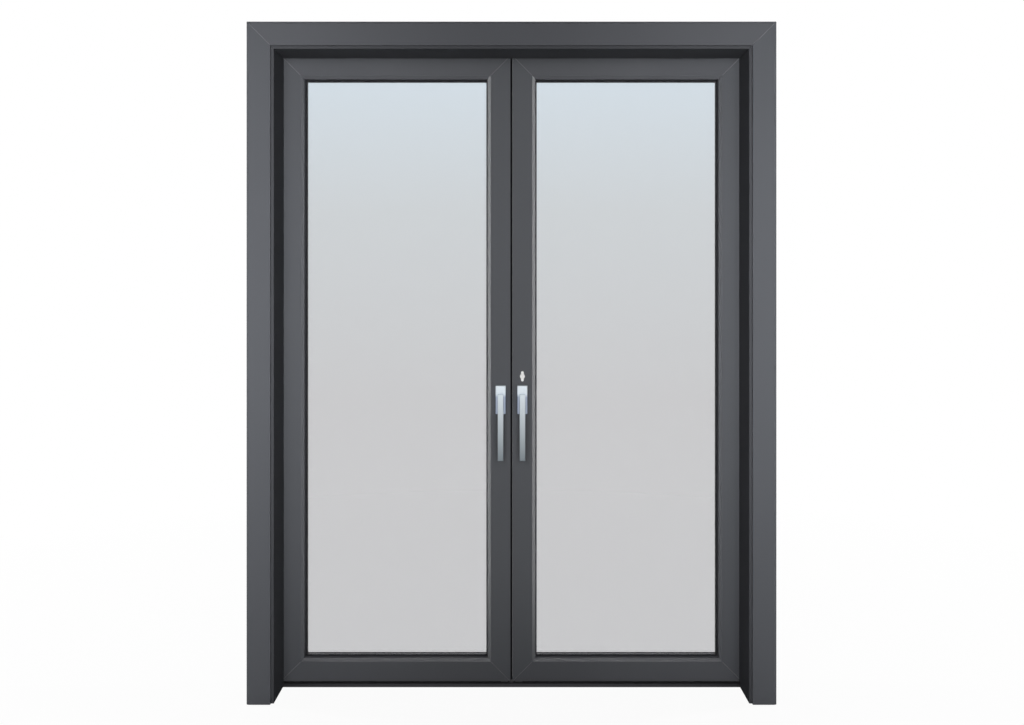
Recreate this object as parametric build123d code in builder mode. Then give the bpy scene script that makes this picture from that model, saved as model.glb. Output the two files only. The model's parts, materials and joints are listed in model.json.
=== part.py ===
from build123d import *
import os
from math import cos, pi, radians, sin, tan

# Aluminium double casement door: a lined frame with casing, two glazed leaves on barrel hinges,
# lever handles that drive top and bottom bolts through a gear, and a key-operated deadbolt.
# Millimetres. +X is to the right, +Y is away from the room, +Z is up. The origin is on the floor,
# midway between the jambs, in the mid-plane of the closed leaves. The leaves open towards +Y.

os.makedirs("parts", exist_ok=True)

# Clear opening and the casing on the wall
clear_width = 1674.0
clear_height = 2306.0
casing_face = 84.0
casing_setback = 10.0
casing_depth = 12.0
casing_wall = 3.0
casing_bevel_width = 8.0
casing_bevel_depth = 4.0

# Hollow lining boards of the reveal
lining_depth = 155.0
lining_thickness = 22.0
lining_wall = 2.0
lining_chambers = 3

# Frame extrusion: a box with a stop lip
frame_box = 40.0
frame_wall = 2.5
stop_thickness = 12.0
stop_lap = 10.0
leaf_gap = 5.0
seal_gap = 3.0
fixing_radius = 4.25
fixing_height_shares = (0.13, 0.39, 0.65, 0.91)

# Frame seal and threshold
seal_width = 6.0
seal_inset = 2.0
rest_clearance = 0.3
threshold_height = 10.0
threshold_ramp = 6.0
floor_gap = 6.0

# Leaf extrusion: a tube with a glazing lip in front and a hardware groove in its edge
leaf_depth = 70.0
leaf_tube = 66.0
leaf_lip = 18.0
lip_depth = 30.0
lip_bevel_width = 12.0
lip_bevel_depth = 8.0
leaf_wall = 3.0
groove_depth = 14.0
groove_width = 18.0
meeting_gap = 8.0
cleat_leg = 95.0
cleat_width = 14.0
cleat_depth = 18.0
cleat_clearance = 0.2

# Glazing
pane_thickness = 5.0
pane_cavity = 12.0
pane_edge_gap = 8.0
spacer_width = 12.0
gasket_thickness = 4.0
gasket_cover = 10.0
gasket_sight = 3.0
bead_bevel = 6.0
bead_wall = 2.0
bead_joint = 0.2

# Meeting seal on the left leaf
meeting_seal_reach = 5.0
meeting_seal_depth = 7.0
meeting_seal_setback = 17.0

# Barrel hinges, outside the rear face
hinge_end_inset = 230.0
hinge_count = 3
hinge_height = 110.0
hinge_knuckle = 48.0
hinge_gap = 0.5
barrel_radius = 9.0
barrel_clearance = 1.0
pin_radius = 5.0
pin_clearance = 0.05
pin_cap_radius = 7.0
pin_cap_height = 3.0
flap_thickness = 4.0
flap_width = 36.0
flap_corner = 5.0
flap_gap = 1.5

# Handles
handle_height = 1060.0
backset = 36.0
base_width = 38.0
base_height = 104.0
base_rise = 44.0
base_depth = 10.0
base_corner = 3.0
base_edge = 1.5
neck_radius = 9.0
neck_clearance = 0.05
lever_width = 21.0
lever_length = 240.0
lever_rise = 13.0
lever_root = 27.0
lever_standoff = 32.0
lever_thickness = 12.0
lever_tip_thickness = 9.0
lever_edge = 2.5
lever_crook = 12.0
spindle_side = 7.0
spindle_hole_radius = 6.0

# Gear drive in the meeting stile, and the bolts that it moves
gear_module = 1.25
gear_teeth = 14
gear_thickness = 8.0
handle_turn = 90.0
pressure_angle = 20.0
addendum_share = 0.8
dedendum_share = 1.25
tooth_relief = 0.35
root_taper_share = 0.25
rod_width = 6.4
rod_depth = 8.0
rod_clearance = 0.3
rod_end_inset = 1.0
rack_spare_teeth = 3
case_wall = 2.0
case_depth = 16.0
case_height = 72.0
keeper_length = 46.0
keeper_width = 26.0
keeper_thickness = 2.0
socket_clearance = 1.0

# Key cylinder and deadbolt, in the right leaf
key_rise = 78.0
cylinder_radius = 7.0
cylinder_clearance = 0.3
cylinder_proud = 5.0
plug_radius = 5.5
plug_clearance = 0.05
plug_length = 36.0
keyway_width = 1.6
keyway_height = 7.0
keyway_depth = 8.0
escutcheon_width = 10.0
escutcheon_height = 37.0
escutcheon_depth = 4.0
escutcheon_rim = 2.0
bolt_rise = 27.0
bolt_height = 24.0
bolt_depth = 11.0
bolt_throw = 15.0
bolt_guided_length = 27.0
lock_case_height = 66.0
lock_case_depth = 15.0
strike_height = 60.0
strike_thickness = 2.0

# Places that follow from the sizes above
half_clear = clear_width / 2
leaf_front = -leaf_depth / 2
leaf_rear = leaf_depth / 2
stop_rear = leaf_front - seal_gap
stop_front = stop_rear - stop_thickness
wall_front = stop_front - lining_depth
casing_front = wall_front - casing_depth
leaf_edge = half_clear + stop_lap
frame_inner = leaf_edge + leaf_gap
frame_outer = frame_inner + frame_box
lining_outer = half_clear + lining_thickness
casing_inner = half_clear + casing_setback
casing_outer = casing_inner + casing_face
leaf_top = clear_height + stop_lap
head_inner = leaf_top + leaf_gap
head_outer = head_inner + frame_box
casing_top = clear_height + casing_setback + casing_face
leaf_bottom = threshold_height + floor_gap
leaf_face = leaf_tube + leaf_lip
meeting_edge = meeting_gap / 2
lip_rear = leaf_front + lip_depth
glass_front = lip_rear + gasket_thickness
cavity_front = glass_front + pane_thickness
cavity_rear = cavity_front + pane_cavity
glass_rear = cavity_rear + pane_thickness
bead_front = glass_rear + gasket_thickness
glass_inset = leaf_tube + pane_edge_gap
hinge_x = (leaf_edge + frame_inner) / 2
hinge_y = leaf_rear + barrel_clearance + barrel_radius
spindle_x = meeting_edge + backset
key_height = handle_height + key_rise
bolt_z = key_height + bolt_rise
bolt_length = bolt_guided_length + bolt_throw
pitch_radius = gear_module * gear_teeth / 2
addendum = addendum_share * gear_module
dedendum = dedendum_share * gear_module
bolt_travel = pitch_radius * radians(handle_turn)
tooth_pitch = pi * gear_module
tooth_half = tooth_pitch / 4 - tooth_relief / 2
rack_root = pitch_radius + dedendum
rod_outer = rack_root + rod_width
chamber_start = groove_depth + leaf_wall
chamber_end = leaf_tube - leaf_wall
sides = (("left", -1), ("right", 1))


def save(piece, name):
    """Label a finished piece and write it as its own STEP file."""
    piece.part.label = name
    export_step(piece.part, f"parts/{name}.step")


def facing(y, x=0, z=0):
    """A plane that faces the room at a point, with +X to its right and +Z up."""
    return Plane(origin=(x, y, z), x_dir=(1, 0, 0), z_dir=(0, -1, 0))


def block(low, high, mode=Mode.ADD):
    """A box between two opposite corners, in the part that is being built."""
    x, y, z = ((a + b) / 2 for a, b in zip(low, high))
    with Locations((x, y, z)):
        Box(*(abs(b - a) for a, b in zip(low, high)), mode=mode)


def prism(profile, depth, mode=Mode.ADD):
    """Carry a sketch that faces the room back by a depth, in the part that is being built."""
    for face in profile.sketch.faces():
        extrude(face, amount=depth, dir=(0, 1, 0), mode=mode)


def section_bar(outline, chambers, start, end, inward, mitres, cuts=()):
    """Carry a hollow section from one corner to the next, mitre its ends and cut its holes.

    The section's first axis points inward across the face, and its second axis is +Y.
    """
    run = (Vector(*end) - Vector(*start)).normalized()
    across = Vector(*inward)
    with BuildPart() as bar:
        with BuildSketch(Plane(origin=start, x_dir=inward, z_dir=run)):
            with BuildLine():
                Polyline(*outline, close=True)
            make_face()
            for low, high in chambers:
                with Locations(((low[0] + high[0]) / 2, (low[1] + high[1]) / 2)):
                    Rectangle(high[0] - low[0], high[1] - low[1], mode=Mode.SUBTRACT)
        extrude(amount=(Vector(*end) - Vector(*start)).length)
        if mitres[0]:
            split(bisect_by=Plane(origin=start, z_dir=run - across), keep=Keep.TOP)
        if mitres[1]:
            split(bisect_by=Plane(origin=end, z_dir=-run - across), keep=Keep.TOP)
        for cut in cuts:
            cut()
    return bar


def three_sided(names, outline, chambers, outer, top, cuts):
    """Left leg, head and right leg of a frame, mitred at the top and square at the floor."""
    foot_left, head_left = (-outer, 0, 0), (-outer, 0, top)
    head_right, foot_right = (outer, 0, top), (outer, 0, 0)
    runs = (
        (foot_left, head_left, (1, 0, 0), (False, True)),
        (head_left, head_right, (0, 0, -1), (True, True)),
        (head_right, foot_right, (-1, 0, 0), (True, False)),
    )
    for name, (start, end, inward, mitres), holes in zip(names, runs, cuts):
        save(section_bar(outline, chambers, start, end, inward, mitres, holes), name)


def casing():
    """Channel-shaped face trim with a bevelled outer edge, open towards the wall."""
    bevel_end = casing_front + casing_bevel_depth
    inner_face = casing_front + casing_wall
    outline = [
        (0, wall_front),
        (0, bevel_end),
        (casing_bevel_width, casing_front),
        (casing_face, casing_front),
        (casing_face, wall_front),
        (casing_face - casing_wall, wall_front),
        (casing_face - casing_wall, inner_face),
        (casing_bevel_width, inner_face),
        (casing_wall, bevel_end + casing_wall / 2),
        (casing_wall, wall_front),
    ]
    names = ("casing_left", "casing_head", "casing_right")
    three_sided(names, outline, (), casing_outer, casing_top, ((), (), ()))


def lining():
    """Flat hollow boards between the wall face and the frame, with webs inside."""
    outline = [(0, wall_front), (lining_thickness, wall_front), (lining_thickness, stop_front), (0, stop_front)]
    pitch = (lining_depth - lining_wall) / lining_chambers
    starts = [wall_front + lining_wall + pitch * i for i in range(lining_chambers)]
    chambers = [
        ((lining_wall, y), (lining_thickness - lining_wall, y + pitch - lining_wall)) for y in starts
    ]
    names = ("lining_left", "lining_head", "lining_right")
    three_sided(names, outline, chambers, lining_outer, clear_height + lining_thickness, ((), (), ()))


def fixing_holes(side):
    """Holes for wall screws through both walls of a jamb, along X."""
    middle = side * (frame_inner + frame_outer) / 2
    for share in fixing_height_shares:
        with Locations(Location((middle, 0, share * clear_height), (0, 90, 0))):
            Hole(fixing_radius)


def head_sockets():
    """Openings in the head's lower wall for the top bolts of both leaves."""
    for _, side in sides:
        x = side * (spindle_x + (rack_root + rod_outer) / 2)
        reach = rod_width / 2 + socket_clearance
        depth = rod_depth / 2 + socket_clearance
        block(
            (x - reach, -depth, head_inner - frame_wall),
            (x + reach, depth, head_inner + frame_wall * 2),
            mode=Mode.SUBTRACT,
        )


def frame():
    """Box extrusions with a stop lip, the corner cleats in their mitres, and the seal on the lip."""
    lip_end = frame_box + leaf_gap + stop_lap
    outline = [
        (0, stop_front),
        (lip_end, stop_front),
        (lip_end, stop_rear),
        (frame_box, stop_rear),
        (frame_box, leaf_rear),
        (0, leaf_rear),
    ]
    box_chamber = ((frame_wall, stop_front + frame_wall), (frame_box - frame_wall, leaf_rear - frame_wall))
    lip_chamber = ((frame_box, stop_front + frame_wall), (lip_end - frame_wall, stop_rear - frame_wall))
    names = ("frame_jamb_left", "frame_head", "frame_jamb_right")
    cuts = ((lambda: fixing_holes(-1),), (head_sockets,), (lambda: fixing_holes(1),))
    three_sided(names, outline, (box_chamber, lip_chamber), frame_outer, head_outer, cuts)

    cleat_edge = frame_outer - frame_wall - cleat_clearance
    cleat_top = head_outer - frame_wall - cleat_clearance
    cleat_face = stop_front + frame_wall + cleat_clearance
    with BuildPart() as cleats:
        for _, side in sides:
            corner_cleat(side * cleat_edge, cleat_top, -side, -1, cleat_face)
    save(cleats, "frame_corner_cleats")

    seal_outer = half_clear + seal_inset + seal_width
    seal_inner = half_clear + seal_inset
    seal_top = clear_height + seal_inset + seal_width
    with BuildPart() as seal:
        with BuildSketch(facing(stop_rear, z=threshold_height)):
            Rectangle(seal_outer * 2, seal_top - threshold_height, align=(Align.CENTER, Align.MIN))
            Rectangle(
                seal_inner * 2,
                seal_top - seal_width - threshold_height,
                align=(Align.CENTER, Align.MIN),
                mode=Mode.SUBTRACT,
            )
        extrude(amount=-(seal_gap - rest_clearance))
    save(seal, "frame_gasket")


def corner_cleat(x, z, x_way, z_way, front):
    """An angle cleat with its outer corner at x, z and a leg along each of the two bars."""
    with BuildSketch(facing(front, x, z)) as angle:
        with BuildLine():
            Polyline(
                (0, 0),
                (x_way * cleat_leg, 0),
                (x_way * cleat_leg, z_way * cleat_width),
                (x_way * cleat_width, z_way * cleat_width),
                (x_way * cleat_width, z_way * cleat_leg),
                (0, z_way * cleat_leg),
                close=True,
            )
        make_face()
    prism(angle, cleat_depth)


def threshold():
    """Low sill between the jambs, notched round the stop lips, with sockets for the bottom bolts."""
    keeper_x = spindle_x - (rack_root + rod_outer) / 2
    reach = rod_width / 2 + socket_clearance
    depth = rod_depth / 2 + socket_clearance
    recess = threshold_height - keeper_thickness
    with BuildPart() as sill:
        block((-half_clear, stop_front, 0), (half_clear, leaf_rear, threshold_height))
        ramps = sill.edges().filter_by(Axis.X).group_by(Axis.Z)[-1]
        chamfer(ramps, length=threshold_ramp)
        block((-frame_inner, stop_rear, 0), (frame_inner, leaf_rear - threshold_ramp, threshold_height))
        for _, side in sides:
            x = side * keeper_x
            block((x - reach, -depth, 0), (x + reach, depth, threshold_height), mode=Mode.SUBTRACT)
            block(
                (x - keeper_width / 2, -keeper_length / 2, recess),
                (x + keeper_width / 2, keeper_length / 2, threshold_height),
                mode=Mode.SUBTRACT,
            )
    save(sill, "threshold")
    save(keepers(keeper_x, recess), "threshold_keepers")
    head_x = spindle_x + (rack_root + rod_outer) / 2
    save(keepers(head_x, head_inner - keeper_thickness), "head_keepers")


def keepers(x_place, z_low):
    """A pair of slotted plates, one for each leaf's bolt."""
    reach = rod_width / 2 + socket_clearance / 2
    depth = rod_depth / 2 + socket_clearance / 2
    z_high = z_low + keeper_thickness
    with BuildPart() as plates:
        for _, side in sides:
            x = side * x_place
            block(
                (x - keeper_width / 2, -keeper_length / 2, z_low),
                (x + keeper_width / 2, keeper_length / 2, z_high),
            )
            block((x - reach, -depth, z_low), (x + reach, depth, z_high), mode=Mode.SUBTRACT)
    return plates


def leaf_outline():
    """Outline and chambers of the sash extrusion: tube, glazing lip and hardware groove."""
    half_groove = groove_width / 2
    outline = [
        (0, leaf_front),
        (leaf_face - lip_bevel_width, leaf_front),
        (leaf_face, leaf_front + lip_bevel_depth),
        (leaf_face, lip_rear),
        (leaf_tube, lip_rear),
        (leaf_tube, leaf_rear),
        (0, leaf_rear),
        (0, half_groove),
        (groove_depth, half_groove),
        (groove_depth, -half_groove),
        (0, -half_groove),
    ]
    inner_front = leaf_front + leaf_wall
    inner_rear = leaf_rear - leaf_wall
    flange_end = groove_depth - leaf_wall
    lip_end = leaf_face - lip_bevel_width
    chambers = (
        ((chamber_start, inner_front), (chamber_end, inner_rear)),
        ((leaf_wall, inner_front), (flange_end, -half_groove - leaf_wall)),
        ((leaf_wall, half_groove + leaf_wall), (flange_end, inner_rear)),
        ((leaf_tube, inner_front), (lip_end, lip_rear - leaf_wall)),
    )
    return outline, chambers


def spindle_cut(side, y_low, y_high):
    """Clearance hole for the spindle through the stile's walls."""
    with BuildSketch(facing(y_low, side * spindle_x, handle_height)) as hole:
        Circle(spindle_hole_radius)
    prism(hole, y_high - y_low, mode=Mode.SUBTRACT)


def cylinder_cut():
    """Through hole for the key cylinder, and the deadbolt's slot in the groove floor."""
    with BuildSketch(facing(leaf_front, spindle_x, key_height)) as hole:
        Circle(cylinder_radius + cylinder_clearance)
    prism(hole, leaf_depth, mode=Mode.SUBTRACT)
    reach = bolt_height / 2 + rod_clearance
    depth = bolt_depth / 2 + rod_clearance
    block(
        (meeting_edge + groove_depth - leaf_wall, -depth, bolt_z - reach),
        (meeting_edge + chamber_start + leaf_wall, depth, bolt_z + reach),
        mode=Mode.SUBTRACT,
    )


def rod_cut(x, z_edge, way):
    """Guide hole for a bolt through a rail's groove floor. The rail lies on the given way from its edge."""
    reach = rod_width / 2 + rod_clearance
    depth = rod_depth / 2 + rod_clearance
    block(
        (x - reach, -depth, z_edge + way * (groove_depth - leaf_wall)),
        (x + reach, depth, z_edge + way * (chamber_start + leaf_wall)),
        mode=Mode.SUBTRACT,
    )


def sash(word, side):
    """Four mitred sash bars round one leaf, with the holes that the hardware needs."""
    low_x, high_x = sorted((side * meeting_edge, side * leaf_edge))
    corners = [
        (low_x, 0, leaf_bottom),
        (low_x, 0, leaf_top),
        (high_x, 0, leaf_top),
        (high_x, 0, leaf_bottom),
    ]
    inwards = [(1, 0, 0), (0, 0, -1), (-1, 0, 0), (0, 0, 1)]
    rod_middle = (rack_root + rod_outer) / 2
    top_x = side * (spindle_x + rod_middle)
    bottom_x = side * (spindle_x - rod_middle)
    spindle_end = leaf_rear if side > 0 else 0
    meeting_cuts = [lambda: spindle_cut(side, leaf_front, spindle_end)]
    if side > 0:
        meeting_cuts.append(cylinder_cut)
    cuts = {
        "hinge_stile": [],
        "top_rail": [lambda: rod_cut(top_x, leaf_top, -1)],
        "meeting_stile": meeting_cuts,
        "bottom_rail": [lambda: rod_cut(bottom_x, leaf_bottom, 1)],
    }
    names = ["hinge_stile", "top_rail", "meeting_stile", "bottom_rail"]
    if side > 0:
        names = ["meeting_stile", "top_rail", "hinge_stile", "bottom_rail"]
    outline, chambers = leaf_outline()
    for i, name in enumerate(names):
        start, end = corners[i], corners[(i + 1) % len(corners)]
        bar = section_bar(outline, chambers, start, end, inwards[i], (True, True), cuts[name])
        save(bar, f"{word}_{name}")

    cleat_inset = chamber_start + cleat_clearance
    cleat_face = leaf_front + leaf_wall + cleat_clearance
    with BuildPart() as cleats:
        for x, x_way in ((low_x, 1), (high_x, -1)):
            for z, z_way in ((leaf_bottom, 1), (leaf_top, -1)):
                corner_cleat(x + x_way * cleat_inset, z + z_way * cleat_inset, x_way, z_way, cleat_face)
    save(cleats, f"{word}_corner_cleats")


def ring(x_middle, inset, width, y_low, y_high):
    """A rectangular ring inside a leaf, inset from its edges, in the part that is being built."""
    outer_x = leaf_edge - meeting_edge - inset * 2
    outer_z = leaf_top - leaf_bottom - inset * 2
    with BuildSketch(facing(y_low, x_middle, (leaf_top + leaf_bottom) / 2)) as outline:
        Rectangle(outer_x, outer_z)
        Rectangle(outer_x - width * 2, outer_z - width * 2, mode=Mode.SUBTRACT)
    prism(outline, y_high - y_low)


def glazing(word, side):
    """Double-glazed unit with its spacer bar, gaskets in front and behind, and mitred beads."""
    x_middle = side * (leaf_edge + meeting_edge) / 2
    width = leaf_edge - meeting_edge - glass_inset * 2
    height = leaf_top - leaf_bottom - glass_inset * 2
    z_middle = (leaf_top + leaf_bottom) / 2
    for name, y in (("front_pane", glass_front), ("rear_pane", cavity_rear)):
        with BuildPart() as pane:
            with Locations((x_middle, y + pane_thickness / 2, z_middle)):
                Box(width, pane_thickness, height)
        save(pane, f"{word}_{name}")
    with BuildPart() as spacer:
        ring(x_middle, glass_inset, spacer_width, cavity_front, cavity_rear)
    save(spacer, f"{word}_spacer_bar")
    gasket_inset = leaf_face - gasket_cover
    with BuildPart() as gaskets:
        ring(x_middle, gasket_inset, gasket_cover + gasket_sight, lip_rear, glass_front)
        ring(x_middle, gasket_inset, gasket_cover + gasket_sight, glass_rear, bead_front)
    save(gaskets, f"{word}_glazing_gaskets")

    bevel_start = leaf_rear - bead_bevel
    outline = [
        (0, bead_front),
        (leaf_lip, bead_front),
        (leaf_lip, bevel_start),
        (leaf_lip - bead_bevel, leaf_rear),
        (0, leaf_rear),
    ]
    chamber = ((bead_wall, bead_front + bead_wall), (leaf_lip - bead_bevel, leaf_rear - bead_wall))
    low_x, high_x = sorted((side * (meeting_edge + leaf_tube), side * (leaf_edge - leaf_tube)))
    low_z, high_z = leaf_bottom + leaf_tube, leaf_top - leaf_tube
    corners = [(low_x, 0, low_z), (low_x, 0, high_z), (high_x, 0, high_z), (high_x, 0, low_z)]
    inwards = [(1, 0, 0), (0, 0, -1), (-1, 0, 0), (0, 0, 1)]
    bars = []
    for i, inward in enumerate(inwards):
        start, end = Vector(*corners[i]), Vector(*corners[(i + 1) % len(corners)])
        joint = (end - start).normalized() * bead_joint
        start, end = start + joint, end - joint
        bars.append(section_bar(outline, (chamber,), start, end, inward, (True, True)).part)
    with BuildPart() as beads:
        add(bars)
    save(beads, f"{word}_glazing_beads")


def hinge_places():
    """Heights of the middles of a leaf's hinges."""
    low, high = leaf_bottom + hinge_end_inset, leaf_top - hinge_end_inset
    return [low + (high - low) * i / (hinge_count - 1) for i in range(hinge_count)]


def knuckle(x, z_low, z_high):
    """One knuckle of a hinge barrel, in the part that is being built."""
    with BuildSketch(Plane((x, hinge_y, z_low))) as round_face:
        Circle(barrel_radius)
    extrude(round_face.sketch, amount=z_high - z_low)


def barrel_cut(x, z_low, z_high, radius):
    """A round cut along the hinge's axis."""
    with BuildSketch(Plane((x, hinge_y, z_low))) as round_face:
        Circle(radius)
    extrude(round_face.sketch, amount=z_high - z_low, mode=Mode.SUBTRACT)


def flap(x, way, z):
    """A flap's plate on the rear face, with rounded outer corners."""
    near, far = x + way * flap_gap, x + way * flap_width
    with BuildSketch(facing(leaf_rear, (near + far) / 2, z)) as plate:
        RectangleRounded(abs(far - near), hinge_height, flap_corner)
        with Locations(((near - far) / 2 + way * flap_corner / 2, 0)):
            Rectangle(flap_corner, hinge_height)
    prism(plate, flap_thickness)


def hinges(word, side):
    """Frame flaps with two knuckles and leaf flaps with one, on a common axis."""
    x = side * hinge_x
    half, mid = hinge_height / 2, hinge_knuckle / 2
    room = barrel_radius + hinge_gap
    with BuildPart() as frame_flaps:
        for z in hinge_places():
            flap(x, side, z)
            barrel_cut(x, z - mid - hinge_gap, z + mid + hinge_gap, room)
            knuckle(x, z - half, z - mid - hinge_gap)
            knuckle(x, z + mid + hinge_gap, z + half)
            barrel_cut(x, z - half, z + half, pin_radius)
    save(frame_flaps, f"hinge_frame_flaps_{word}")
    with BuildPart() as leaf_flaps:
        for z in hinge_places():
            flap(x, -side, z)
            barrel_cut(x, z - half, z - mid, room)
            barrel_cut(x, z + mid, z + half, room)
            knuckle(x, z - mid, z + mid)
            barrel_cut(x, z - mid, z + mid, pin_radius + pin_clearance)
    save(leaf_flaps, f"{word}_hinge_flaps")


def hinge_pins():
    """Pins with a cap at each end, held in the frame flaps' knuckles."""
    half = hinge_height / 2
    with BuildPart() as pins:
        for _, side in sides:
            for z in hinge_places():
                for radius, low, high in (
                    (pin_radius, z - half, z + half),
                    (pin_cap_radius, z - half - pin_cap_height, z - half),
                    (pin_cap_radius, z + half, z + half + pin_cap_height),
                ):
                    with BuildSketch(Plane((side * hinge_x, hinge_y, low))):
                        Circle(radius)
                    extrude(amount=high - low)
    save(pins, "hinge_pins")


def handle_base(side, face, way):
    """Rectangular base plate on a leaf's face, bored for the lever's neck."""
    with BuildPart() as base:
        with BuildSketch(facing(face, side * spindle_x, handle_height)):
            with Locations((0, base_rise - base_height / 2)):
                RectangleRounded(base_width, base_height, base_corner)
            Circle(neck_radius + neck_clearance, mode=Mode.SUBTRACT)
        extrude(amount=-way * base_depth)
        rim = base.faces().sort_by(Axis.Y)[-1 if way > 0 else 0].outer_wire()
        chamfer(rim.edges(), length=base_edge)
    return base


def lever(side, face, way):
    """Lever shaped like a figure 7 from the side: a root block, a crook and a slim bar, on a round neck."""
    back = face + way * lever_standoff
    front = back + way * lever_thickness
    tip_back = front - way * lever_tip_thickness
    base_front = face + way * (base_depth + rest_clearance)
    top = handle_height + lever_rise
    root = top - lever_root
    tip = top - lever_length
    with BuildPart() as piece:
        with BuildSketch(Plane.YZ.offset(side * spindle_x - lever_width / 2)):
            with BuildLine():
                Polyline((back, root - lever_crook), (tip_back, tip), (front, tip), (front, top))
                Polyline((front, top), (base_front, top), (base_front, root), (back - way * lever_crook, root))
                RadiusArc(
                    (back - way * lever_crook, root),
                    (back, root - lever_crook),
                    lever_crook * way,
                )
            make_face()
        extrude(amount=lever_width)
        long_edges = piece.edges().filter_by(Axis.Z).group_by(Axis.Y)[0 if way < 0 else -1]
        tip_edges = piece.edges().filter_by(Axis.X).group_by(Axis.Z)[0]
        fillet(long_edges + tip_edges, radius=lever_edge)
        with BuildSketch(facing(face, side * spindle_x, handle_height)):
            Circle(neck_radius)
            Rectangle(spindle_side, spindle_side, mode=Mode.SUBTRACT)
        extrude(amount=-(base_front - face))
    return piece


def gear_outline():
    """Corner points of the gear: each tooth has a straight flank, full at its root and slim at its tip."""
    tip_radius = pitch_radius + addendum
    root_radius = pitch_radius - dedendum
    slope = tan(radians(pressure_angle))
    corners = (
        (root_radius, tooth_half + dedendum * slope * root_taper_share),
        (pitch_radius, tooth_half),
        (tip_radius, tooth_half - addendum * slope),
    )
    points = []
    for tooth in range(gear_teeth):
        middle = 2 * pi * tooth / gear_teeth
        for radius, half in corners:
            points.append((radius * cos(middle - half / radius), radius * sin(middle - half / radius)))
        for radius, half in reversed(corners):
            points.append((radius * cos(middle + half / radius), radius * sin(middle + half / radius)))
    return points


def gear_spindle(side):
    """Square spindle with the pinion that drives both racks, made in one piece."""
    front = leaf_front - base_depth
    rear = leaf_rear + base_depth if side > 0 else gear_thickness
    with BuildPart() as spindle:
        with BuildSketch(facing(-gear_thickness / 2, side * spindle_x, handle_height)):
            with BuildLine():
                Polyline(*gear_outline(), close=True)
            make_face()
        extrude(amount=-gear_thickness)
        block(
            (side * spindle_x - spindle_side / 2, front, handle_height - spindle_side / 2),
            (side * spindle_x + spindle_side / 2, rear, handle_height + spindle_side / 2),
        )
    return spindle


def rod(side, rack_way, way, end):
    """Bolt rod with a rack. rack_way is its side of the gear, and way is +1 for the top rod."""
    slope = tan(radians(pressure_angle))
    tooth_root = tooth_half + dedendum * slope
    tooth_tip = tooth_half - addendum * slope
    travel_teeth = int(bolt_travel / tooth_pitch) + rack_spare_teeth
    first, last = (-travel_teeth, rack_spare_teeth) if way > 0 else (-rack_spare_teeth, travel_teeth)
    foot = handle_height - way * tooth_pitch * travel_teeth
    out = side * rack_way
    with BuildPart() as piece:
        block(
            (side * spindle_x + out * rack_root, -rod_depth / 2, foot),
            (side * spindle_x + out * rod_outer, rod_depth / 2, end),
        )
        with BuildSketch(facing(-rod_depth / 2)):
            for tooth in range(first, last):
                z = handle_height + (tooth + 1 / 2) * tooth_pitch
                inner = side * spindle_x + out * (pitch_radius - addendum)
                outer = side * spindle_x + out * rack_root
                with BuildLine():
                    Polyline(
                        (outer, z - tooth_root),
                        (inner, z - tooth_tip),
                        (inner, z + tooth_tip),
                        (outer, z + tooth_root),
                        close=True,
                    )
                make_face()
        extrude(amount=-rod_depth)
    return piece


def gear_case(side):
    """Case seated on the groove's floor, open above and below for the rods, bored for the spindle."""
    near = side * (meeting_edge + chamber_start)
    far = side * (spindle_x + rod_outer + rod_clearance + case_wall)
    inner_near = side * (spindle_x - rod_outer - rod_clearance)
    inner_far = side * (spindle_x + rod_outer + rod_clearance)
    half = case_height / 2
    cavity = rod_depth / 2 + rod_clearance
    with BuildPart() as case:
        block(
            (near, -case_depth / 2, handle_height - half),
            (far, case_depth / 2, handle_height + half),
        )
        block(
            (inner_near, -cavity, handle_height - half),
            (inner_far, cavity, handle_height + half),
            mode=Mode.SUBTRACT,
        )
        spindle_cut(side, -case_depth / 2, case_depth / 2)
    return case


def handles(word, side):
    """Front handle, gear and rods of a leaf. The right leaf's spindle carries a rear lever too."""
    rod_end_top = leaf_top - rod_end_inset
    rod_end_bottom = leaf_bottom + rod_end_inset
    save(handle_base(side, leaf_front, -1), f"{word}_handle_base")
    save(lever(side, leaf_front, -1), f"{word}_lever")
    save(gear_spindle(side), f"{word}_gear_spindle")
    save(gear_case(side), f"{word}_gear_case")
    save(rod(side, 1, 1, rod_end_top), f"{word}_top_rod")
    save(rod(side, -1, -1, rod_end_bottom), f"{word}_bottom_rod")
    if side > 0:
        save(handle_base(side, leaf_rear, 1), f"{word}_rear_handle_base")
        save(lever(side, leaf_rear, 1), f"{word}_rear_lever")


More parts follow.
